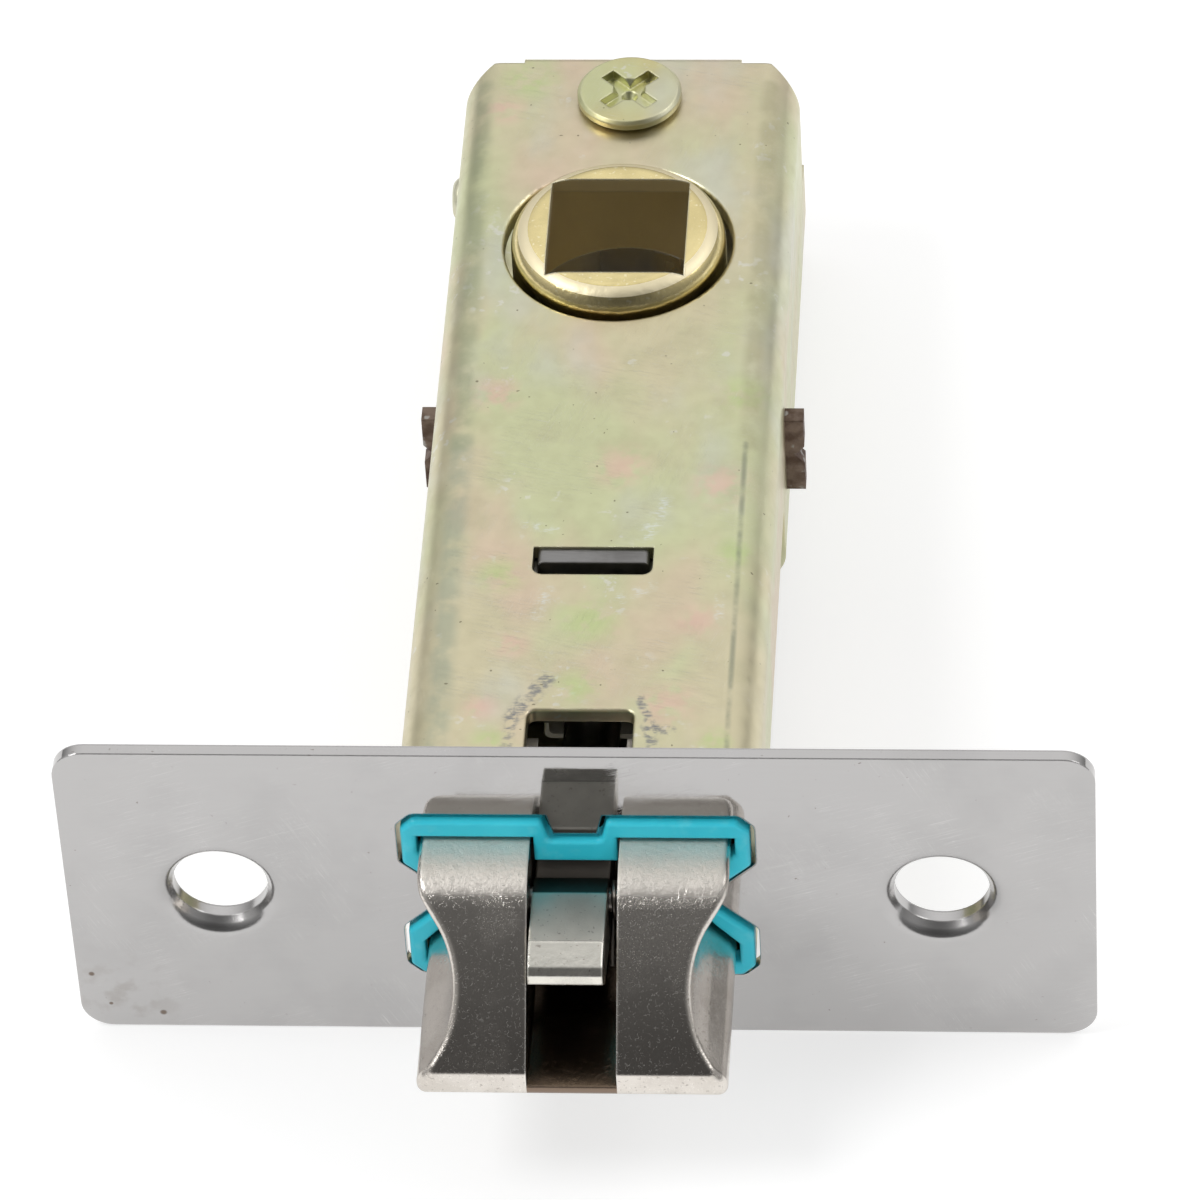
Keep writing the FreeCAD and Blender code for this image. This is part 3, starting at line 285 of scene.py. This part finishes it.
def nickel_casting():
    finish, shader, place = new_finish("nickel_casting", 1.0)
    patches = cloud(finish, place, 420.0, 5.0, 0.35, 0.68)
    dents = noise(finish, place, 2600.0, 4.0, 0.62)
    nicks = cloud(finish, place, 5200.0, 2.0, 0.64, 0.70)
    marks = most(finish, flecks(finish, place, 2300.0, 0.016, 0.47, 0.66),
                 flecks(finish, shifted(finish, place, (0.3, 0.1, 0.2)), 4200.0, 0.024, 0.48, 0.66))
    all_marks = most(finish, marks, scratches(finish, place, (0.785, 0.0, 1.2), 0.004, 0.00006, 0.5))
    up = coordinate(finish, place, "Z")
    inside = under(finish, unsigned(finish, coordinate(finish, place, "X")), slot_half_width)
    # Painted shade: the slot is painted dark brown from a little above its floor down to it.
    sunken = times(finish, ramp(finish, up, above_slot_floor, slot_floor), inside)
    normal = step(finish, "NewGeometry", {}).outputs["Normal"]
    facing_up = coordinate(finish, normal, "Z")
    slope = minus(finish, facing_up, coordinate(finish, normal, "Y"))
    strike_face = ramp(finish, slope, 1.12, 1.42, curve="SMOOTHSTEP")
    struck_marks = times(finish, marks, strike_face)
    # Painted highlight: faces that look up are painted pale; they are also made rougher, with deeper pits.
    ledge = times(finish, ramp(finish, facing_up, 0.72, 0.97), minus(finish, 1.0, sunken))
    # Painted shade: the bevel's colour goes from light at its top to dark towards its nose.
    bevel_painted_shade = mixed(finish, ramp(finish, up, bevel_top, bevel_shade),
                       (0.820, 0.770, 0.705, 1.0), (0.370, 0.340, 0.308, 1.0))
    plating = mixed(finish, patches, (0.74, 0.695, 0.640, 1.0), (0.64, 0.595, 0.540, 1.0))
    # The coats are real marks, nicks and scratches, with painted light and shade: edges paler as wear and
    # highlight, a shaded bevel, a pale top and a dark brown slot floor.
    nickel_with_wear_and_painted_light = coated(finish, plating,
                     (all_marks, 0.6, (0.92, 0.89, 0.84, 1.0)),
                     (nicks, 0.5, (0.30, 0.26, 0.22, 1.0)),
                     (strike_face, 0.85, bevel_painted_shade),
                     (struck_marks, 0.55, (0.95, 0.92, 0.87, 1.0)),
                     (edge_wear_and_highlight(finish, 0.00016), 0.8, (0.96, 0.93, 0.88, 1.0)),
                     (ledge, 0.7, (0.97, 0.92, 0.85, 1.0)),
                     (sunken, 1.0, (0.235, 0.175, 0.132, 1.0)))
    rough = most(finish, ramp(finish, patches, 0.0, 1.0, 0.17, 0.21), times(finish, ledge, 0.70))
    toned(finish, shader, nickel_with_wear_and_painted_light, most(finish, rough, times(finish, struck_marks, 0.42)))
    pits = minus(finish, dents, times(finish, most(finish, nicks, all_marks), 0.45))
    depth = ramp(finish, ledge, 0.0, 1.0, 0.25, 2.4)
    raised(finish, shader, times(finish, pits, depth), 0.00005, 0.5, 0.00022)
    return finish


dress("latch_bolt", nickel_casting())


# Anti-friction lever: blanked from bright steel strip and tumbled. Its nose is scored
# across where it meets the strike, and the arm behind it is painted near black as shade.

# Painted shade: going back along the lever, its arm is painted near black from here on.
arm_front, arm_painted_shade_full = -0.00250, -0.00235
nose_front, nose_back = -0.0070, -0.0064
flat_front, flat_back = -0.0062, -0.0060


def tumbled_steel():
    finish, shader, place = new_finish("tumbled_steel", 1.0)
    patches = cloud(finish, place, 600.0, 4.0, 0.38, 0.66)
    scored = most(finish, scratches(finish, place, (0.0, 0.2, 0.3), 0.0015, 0.00005, 0.8),
                  scratches(finish, place, (0.3, -0.5, 1.2), 0.001, 0.00005, 0.7))
    nicks = cloud(finish, place, 4600.0, 2.0, 0.66, 0.72)
    ahead = coordinate(finish, place, "Y")
    steel = mixed(finish, patches, (0.80, 0.775, 0.700, 1.0), (0.72, 0.700, 0.630, 1.0))
    # The coats are real scoring and nicks, edges painted paler as wear and highlight, and the arm painted
    # near black as shade.
    steel_with_wear_and_painted_shade = coated(finish, steel,
                    (scored, 0.6, (0.92, 0.90, 0.84, 1.0)),
                    (nicks, 0.5, (0.24, 0.20, 0.17, 1.0)),
                    (edge_wear_and_highlight(finish, 0.00014), 0.6, (0.90, 0.88, 0.83, 1.0)),
                    (ramp(finish, ahead, arm_front, arm_painted_shade_full), 0.94, (0.070, 0.058, 0.048, 1.0)))
    dull_flat = times(finish, ramp(finish, ahead, flat_front, flat_back), 0.40)
    toned(finish, shader, steel_with_wear_and_painted_shade, most(finish, ramp(finish, patches, 0.0, 1.0, 0.20, 0.28), dull_flat))
    nose = ramp(finish, ahead, nose_back, nose_front, 0.3, 1.0)
    raised(finish, shader, times(finish, noise(finish, place, 2600.0, 3.0), nose), 0.00005, 0.4, 0.0002)
    return finish


dress("anti_friction_lever", tumbled_steel())


# Pin, stem, washer, clip and cam: plain turned or stamped steel, left bright and lightly
# oiled, that carries the bolt and the spring inside the case.

def bright_steel():
    finish, shader, place = new_finish("bright_steel", 1.0)
    tooling = noise(finish, stretched(finish, place, (3.0, 40.0, 3.0)), 260.0, 4.0)
    oil = cloud(finish, place, 300.0, 3.0, 0.4, 0.65)
    steel = mixed(finish, oil, (0.47, 0.46, 0.45, 1.0), (0.36, 0.34, 0.32, 1.0))
    lined = coated(finish, steel, (tooling, 0.4, (0.56, 0.55, 0.54, 1.0)))
    toned(finish, shader, lined, ramp(finish, oil, 0.0, 1.0, 0.36, 0.24))
    raised(finish, shader, tooling, 0.00001, 0.4)
    return finish


bright = bright_steel()
for name in ("lever_pin", "bolt_stem", "spring_washer", "stem_clip", "hub_cam"):
    dress(name, bright)


# Springs: drawn steel wire, dark from its heat treatment, with the draw lines along it. The
# latch spring bears on the rear cross plate and is pressed together as the bolt goes in.

def spring_wire():
    finish, shader, place = new_finish("spring_wire", 1.0)
    drawn = noise(finish, place, 2400.0, 4.0)
    heat = cloud(finish, place, 500.0, 3.0, 0.35, 0.7)
    tempered = mixed(finish, heat, (0.34, 0.33, 0.32, 1.0), (0.22, 0.20, 0.19, 1.0))
    toned(finish, shader, tempered, ramp(finish, drawn, 0.0, 1.0, 0.22, 0.42))
    raised(finish, shader, drawn, 0.00001, 0.4)
    return finish


wire = spring_wire()
dress("lever_spring", wire)
coil = bpy.data.objects.new("latch_spring_coil", nodes["latch_spring"].data.copy())
coil.data.materials.clear()
coil.data.materials.append(wire)
bpy.context.scene.collection.objects.link(coil)
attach(coil, "case")
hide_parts("latch_spring")
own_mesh(coil)


# Front cross plate: stamped from grey mild steel. Its tab stands in the slot on top of the
# case, where the sheared edge shows.

def sheared_steel():
    finish, shader, place = new_finish("sheared_steel", 1.0)
    shear = noise(finish, stretched(finish, place, (1.0, 9.0, 1.0)), 900.0, 4.0)
    stain = cloud(finish, place, 420.0, 4.0, 0.4, 0.65)
    steel = mixed(finish, stain, (0.235, 0.230, 0.225, 1.0), (0.150, 0.145, 0.140, 1.0))
    lined = coated(finish, steel, (shear, 0.35, (0.42, 0.415, 0.410, 1.0)))
    toned(finish, shader, lined, ramp(finish, shear, 0.0, 1.0, 0.34, 0.52))
    raised(finish, shader, shear, 0.00003, 0.5, 0.0002)
    return finish


dress("front_cross_plate", sheared_steel())


# Rear cross plate: unplated steel that has browned. Its ears stand out of both sides of
# the case, split and spread by a staking tool.

def browned_steel():
    finish, shader, place = new_finish("browned_steel", 0.7)
    rust = cloud(finish, place, 900.0, 5.0, 0.35, 0.65)
    torn = noise(finish, place, 1600.0, 5.0, 0.65)
    steel = mixed(finish, rust, (0.105, 0.066, 0.047, 1.0), (0.235, 0.175, 0.140, 1.0))
    bare = mixed(finish, cloud(finish, place, 1300.0, 2.0, 0.6, 0.7), steel, (0.42, 0.40, 0.38, 1.0))
    toned(finish, shader, bare, ramp(finish, torn, 0.0, 1.0, 0.42, 0.66))
    raised(finish, shader, torn, 0.00012, 0.6, 0.0002)
    return finish


dress("rear_cross_plate", browned_steel())


# Case: two channels folded from mild steel sheet and zinc plated with a yellow passivation,
# which shows green, pink and grey by turns. Dark streaks are painted along the folds as
# reflections in the bends, and the top is scraped beside its front window. The retractor
# fork, the rear screw and its post are plated alike.

case_top = 7.0
pink_patches = ((4.6, 7.9, 2.8), (6.9, 25.5, 2.6), (-4.2, 12.5, 1.6), (-5.6, 7.6, 1.6),
                (-7.4, 57.8, 1.9), (6.1, 14.5, 2.0), (1.2, 27.0, 2.6), (-6.3, 33.0, 2.2))
green_patches = ((-4.9, 5.0, 1.7), (7.5, 5.1, 1.6), (0.1, 14.5, 2.8), (-6.1, 60.5, 2.6),
                 (-5.2, 18.1, 2.2), (8.0, 20.0, 1.8), (-0.4, 9.2, 2.2), (7.9, 33.0, 2.4))
# Painted reflections: dark bands along the folds, where the bends reflect a dark part of the room. Each has a
# start, an end, a full and a no width in millimetres, a share and a colour.
fold_painted_reflections = (((-7.9, 3.0), (-8.1, 29.0), 0.2, 1.1, 0.60, (0.350, 0.390, 0.300, 1.0)),
                ((-8.1, 29.0), (-8.9, 60.0), 0.2, 1.0, 0.60, (0.340, 0.370, 0.240, 1.0)),
                ((8.4, 29.0), (8.4, 60.0), 0.2, 0.9, 0.50, (0.390, 0.365, 0.230, 1.0)),
                ((8.2, 2.0), (8.2, 29.0), 0.03, 0.26, 0.72, (0.250, 0.265, 0.200, 1.0)))
dark_scrapes = (((-4.0, 4.6), (-3.7, 7.0), 0.5),
                ((-3.7, 7.0), (-2.1, 9.8), 0.8),
                ((3.7, 6.1), (5.0, 5.9), 0.5),
                ((3.2, 8.4), (4.0, 6.2), 0.4),
                ((3.9, 5.6), (4.2, 4.4), 0.5))
pale_scrapes = (((-3.9, 22.2), (-2.3, 21.8), 0.5),
                ((2.9, 21.3), (3.9, 24.1), 0.7),
                ((-2.4, 17.0), (-2.9, 14.9), 0.6),
                ((1.8, 16.3), (3.3, 17.3), 0.7),
                ((7.3, 14.5), (7.3, 16.5), 0.4),
                ((6.2, 4.4), (7.2, 4.2), 0.6))


def on_top(across, along):
    """A spot on the top of the case in metres, from millimetres."""
    return (across / 1000, along / 1000, case_top / 1000)


def yellow_zinc(name, seed, ground_tone=(0.660, 0.600, 0.410, 1.0)):
    finish, shader, place = new_finish(name, 1.0)
    moved = shifted(finish, place, (seed, seed * 0.7, seed * 0.4))
    drawn = stretched(finish, moved, (1.0, 0.55, 1.0))
    green = cloud(finish, drawn, 105.0, 4.0, 0.44, 0.64)
    pink = cloud(finish, shifted(finish, drawn, (0.31, 0.17, 0.23)), 120.0, 3.0, 0.52, 0.68)
    grey = cloud(finish, shifted(finish, drawn, (0.11, 0.47, 0.05)), 150.0, 4.0, 0.50, 0.70)
    olive = cloud(finish, shifted(finish, moved, (0.23, 0.05, 0.61)), 330.0, 4.0, 0.52, 0.72)
    fine = noise(finish, moved, 1100.0, 5.0)
    marks = most(finish, scratches(finish, moved, (0.0, 0.0, 0.25), 0.005, 0.00006, 0.5),
                 scratches(finish, moved, (0.0, 0.0, -1.2), 0.003, 0.00006, 0.45))
    scuffs = times(finish, cloud(finish, moved, 1500.0, 3.0, 0.60, 0.68),
                   cloud(finish, moved, 190.0, 2.0, 0.52, 0.62))
    specks = cloud(finish, moved, 2600.0, 1.0, 0.77, 0.80)
    plating = coated(finish, ground_tone,
                     (green, 0.75, (0.590, 0.640, 0.380, 1.0)),
                     (pink, 0.6, (0.720, 0.540, 0.430, 1.0)),
                     (grey, 0.6, (0.620, 0.635, 0.560, 1.0)),
                     (olive, 0.30, (0.500, 0.475, 0.300, 1.0)),
                     (fine, 0.22, (0.44, 0.41, 0.27, 1.0)),
                     (most(finish, marks, scuffs), 0.55, (0.72, 0.71, 0.66, 1.0)))

    ragged = cloud(finish, moved, 950.0, 4.0, 0.34, 0.58)
    for patches, tone in ((pink_patches, (0.760, 0.500, 0.430, 1.0)),
                          (green_patches, (0.500, 0.630, 0.270, 1.0))):
        for across, along, size in patches:
            flush = round_spot(finish, place, on_top(across, along), 0.0, size / 1000)
            plating = coated(finish, plating, (times(finish, flush, ragged), 0.62, tone))
    softly = cloud(finish, moved, 620.0, 4.0, 0.22, 0.62)
    # Painted reflections: dark streaks along the folds.
    for start, end, full, none, share, tone in fold_painted_reflections:
        reflection_band = beside_line(finish, place, on_top(*start), on_top(*end), full / 1000, none / 1000)
        plating = coated(finish, plating, (times(finish, reflection_band, softly), share, tone))

    swept = stretched(finish, moved, (0.45, 1.8, 1.0))
    broken = cloud(finish, moved, 1700.0, 4.0, 0.40, 0.58)
    torn = times(finish, cloud(finish, swept, 5200.0, 5.0, 0.28, 0.62), broken)
    grazed = times(finish, cloud(finish, swept, 5600.0, 5.0, 0.36, 0.68), broken)
    for scrapes, heart, grain, share, tone in ((dark_scrapes, 0.3, torn, 0.85, (0.225, 0.230, 0.240, 1.0)),
                                               (pale_scrapes, 0.2, grazed, 0.60, (0.740, 0.780, 0.780, 1.0))):
        for start, end, width in scrapes:
            reach = width / 1000
            scrape = beside_line(finish, place, on_top(*start), on_top(*end), reach * heart, reach)
            plating = coated(finish, plating, (times(finish, scrape, grain), share, tone))

    # Edges painted paler as wear and as painted highlight, and dark specks.
    zinc_with_wear_and_painted_light = coated(finish, plating,
                    (edge_wear_and_highlight(finish, 0.00014), 0.6, (0.860, 0.830, 0.600, 1.0)),
                    (specks, 0.7, (0.16, 0.14, 0.09, 1.0)))
    toned(finish, shader, zinc_with_wear_and_painted_light, ramp(finish, fine, 0.3, 0.7, 0.30, 0.42))
    height = minus(finish, fine, times(finish, most(finish, marks, specks), 0.8))
    raised(finish, shader, height, 0.00001, 0.5, 0.00015)
    return finish


case_plating = yellow_zinc("yellow_zinc_case", 0.0)
for name in ("top_shell", "bottom_shell", "retractor_fork", "screw_post"):
    dress(name, case_plating)
dress("case_screw", yellow_zinc("yellow_zinc_screw", 0.81, (0.640, 0.560, 0.270, 1.0)))


# Hub: two cups drawn from steel sheet, with a pierced square for the spindle, yellow plated
# and polished by the drawing die, with small pale glints painted on as highlights. The bore
# is rougher and paler.

spindle_axis = 0.0461
bore_reach = 0.00585
bore_height = 0.00825
die_marks_start, die_marks_full = -0.0035, -0.0055


def drawn_cup():
    finish, shader, place = new_finish("drawn_cup", 1.0)
    patches = cloud(finish, place, 380.0, 4.0, 0.38, 0.66)
    glints = cloud(finish, place, 3600.0, 3.0, 0.62, 0.68)
    fine = noise(finish, place, 1900.0, 4.0)
    behind_axis = minus(finish, coordinate(finish, place, "Y"), spindle_axis)
    from_axis = step(finish, "CombineXYZ", {"X": coordinate(finish, place, "X"), "Y": behind_axis}).outputs[0]
    level = unsigned(finish, coordinate(finish, place, "Z"))
    bore = times(finish, under(finish, length_of(finish, from_axis), bore_reach),
                 under(finish, level, bore_height))
    yellow = mixed(finish, patches, (0.770, 0.650, 0.330, 1.0), (0.690, 0.580, 0.290, 1.0))
    # Painted highlights: small pale glints. The bore is paler, and the edges are painted paler as wear and
    # highlight.
    paler_in_places = coated(finish, yellow,
                    (glints, 0.45, (0.95, 0.90, 0.66, 1.0)),
                    (bore, 0.9, (0.880, 0.790, 0.560, 1.0)),
                    (edge_wear_and_highlight(finish, 0.00016), 0.7, (0.93, 0.90, 0.72, 1.0)))
    rough = most(finish, ramp(finish, patches, 0.0, 1.0, 0.16, 0.26), times(finish, bore, 0.50))
    toned(finish, shader, paler_in_places, rough)
    front = ramp(finish, behind_axis, die_marks_start, die_marks_full, 0.25, 1.6)
    raised(finish, shader, times(finish, fine, front), 0.00006, 0.4, 0.0002)
    return finish


cup_finish = drawn_cup()
for name in ("hub_upper_cup", "hub_lower_cup"):
    dress(name, cup_finish)


# Ground: a white sheet under the latch, which lies on the faceplate's lower edge and on the
# lower cup of the hub. It stays white to the eye and keeps a faint shadow. Right under the
# case its glow is left out, a painted shadow that is dark to the eye and to the metal.

# Painted shadow under the case: full within the first of each pair of sizes, gone past the second.
shadow_half_width, open_half_width = 0.0075, 0.0095
shadow_back, open_back = 0.058, 0.062
shadow_front, open_front = 0.002, 0.0


def white_ground():
    finish = bpy.data.materials.new("white_ground")
    finish.use_nodes = True
    tree = finish.node_tree
    shader = tree.nodes["Principled BSDF"]
    shader.inputs["Base Color"].default_value = (0.50, 0.50, 0.50, 1.0)
    shader.inputs["Roughness"].default_value = 1.0
    shader.inputs["Specular IOR Level"].default_value = 0.0
    path = step(finish, "LightPath", {})
    seen = most(finish, path.outputs["Is Camera Ray"], path.outputs["Is Glossy Ray"])
    seen = most(finish, seen, path.outputs["Is Transmission Ray"])
    place = step(finish, "TexCoord", {}).outputs["Object"]
    along = coordinate(finish, place, "Y")
    wide = ramp(finish, unsigned(finish, coordinate(finish, place, "X")), shadow_half_width, open_half_width)
    behind = ramp(finish, along, shadow_back, open_back)
    before = ramp(finish, along, shadow_front, open_front)
    # Painted shadow: the ground's glow is left out under the case.
    outside_painted_shadow = most(finish, wide, most(finish, behind, before))
    shader.inputs["Emission Color"].default_value = (1.0, 1.0, 1.0, 1.0)
    tree.links.new(times(finish, times(finish, seen, outside_painted_shadow), 0.62), shader.inputs["Emission Strength"])
    return finish


plate_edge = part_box("faceplate")[0]
cup_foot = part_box("hub_lower_cup")[0]
cup_rim = 0.0516
lean = math.atan2(cup_foot.z - plate_edge.z, cup_rim)
half_sheet = 0.9
sheet_gap = 0.0001
sheet = bpy.data.meshes.new("ground")
sheet.from_pydata([(-half_sheet, -half_sheet, 0), (half_sheet, -half_sheet, 0),
                   (half_sheet, half_sheet, 0), (-half_sheet, half_sheet, 0)], [], [(0, 1, 2, 3)])
ground = bpy.data.objects.new("ground", sheet)
bpy.context.scene.collection.objects.link(ground)
ground.location = (0, 0, plate_edge.z - sheet_gap)
ground.rotation_euler = (lean, 0, 0)
sheet.materials.append(white_ground())


# Light: an even studio, brighter overhead than at the horizon and darker where the camera
# stands. Two soft lamps stand over the left and right, and one in front lights the teal
# guide without showing in the metal.

dark_side = (0.072, -0.713, 0.698)
lamp_aim = Vector((0, 0.025, 0))


def studio_sky():
    world = bpy.data.worlds.new("studio")
    world.use_nodes = True
    bpy.context.scene.world = world
    background = world.node_tree.nodes["Background"]
    background.inputs["Color"].default_value = (1.0, 1.0, 1.0, 1.0)
    direction = step(world, "TexCoord", {}).outputs["Generated"]
    overhead = ramp(world, coordinate(world, direction, "Z"), -0.05, 0.95, 0.30, 1.20, curve="SMOOTHSTEP")
    toward = step(world, "VectorMath", {0: direction, 1: dark_side}, operation="DOT_PRODUCT").outputs["Value"]
    room = times(world, overhead, ramp(world, toward, 0.20, 0.98, 1.0, 0.11))
    path = step(world, "LightPath", {})
    seen = step(world, "Mix", {0: path.outputs["Is Camera Ray"], 2: room, 3: 1.0}).outputs[0]
    world.node_tree.links.new(seen, background.inputs["Strength"])


def soft_lamp(name, place, size, power, mirrored=True):
    """A soft lamp, which may be kept out of the metal's reflections."""
    lamp = bpy.data.lights.new(name, "AREA")
    lamp.size = size
    lamp.energy = power
    holder = bpy.data.objects.new(name, lamp)
    bpy.context.scene.collection.objects.link(holder)
    holder.location = place
    holder.visible_glossy = mirrored
    holder.rotation_euler = (lamp_aim - Vector(place)).to_track_quat("-Z", "Y").to_euler()


studio_sky()
soft_lamp("left_lamp", (-0.35, -0.05, 0.45), 0.20, 1.1)
soft_lamp("right_lamp", (0.40, 0.15, 0.40), 0.25, 0.5)
soft_lamp("front_lamp", (0.05, -0.50, 0.15), 0.30, 1.0, mirrored=False)


# Camera: long lens, looking down on the faceplate from a little to the right. Its place,
# turn and lens were fitted to the plate's corners, the case's edges and the square hole.

camera = bpy.data.cameras.new("camera")
camera.sensor_width = 36.0
camera.lens = 253.68
camera.clip_start = 0.01
viewer = bpy.data.objects.new("camera", camera)
bpy.context.scene.collection.objects.link(viewer)
viewer.location = (0.03485172, -0.32122529, 0.33721944)
viewer.rotation_euler = [math.radians(turn) for turn in (45.69862, 2.68565, 3.18184)]
bpy.context.scene.camera = viewer
bpy.context.scene.view_settings.view_transform = "Standard"
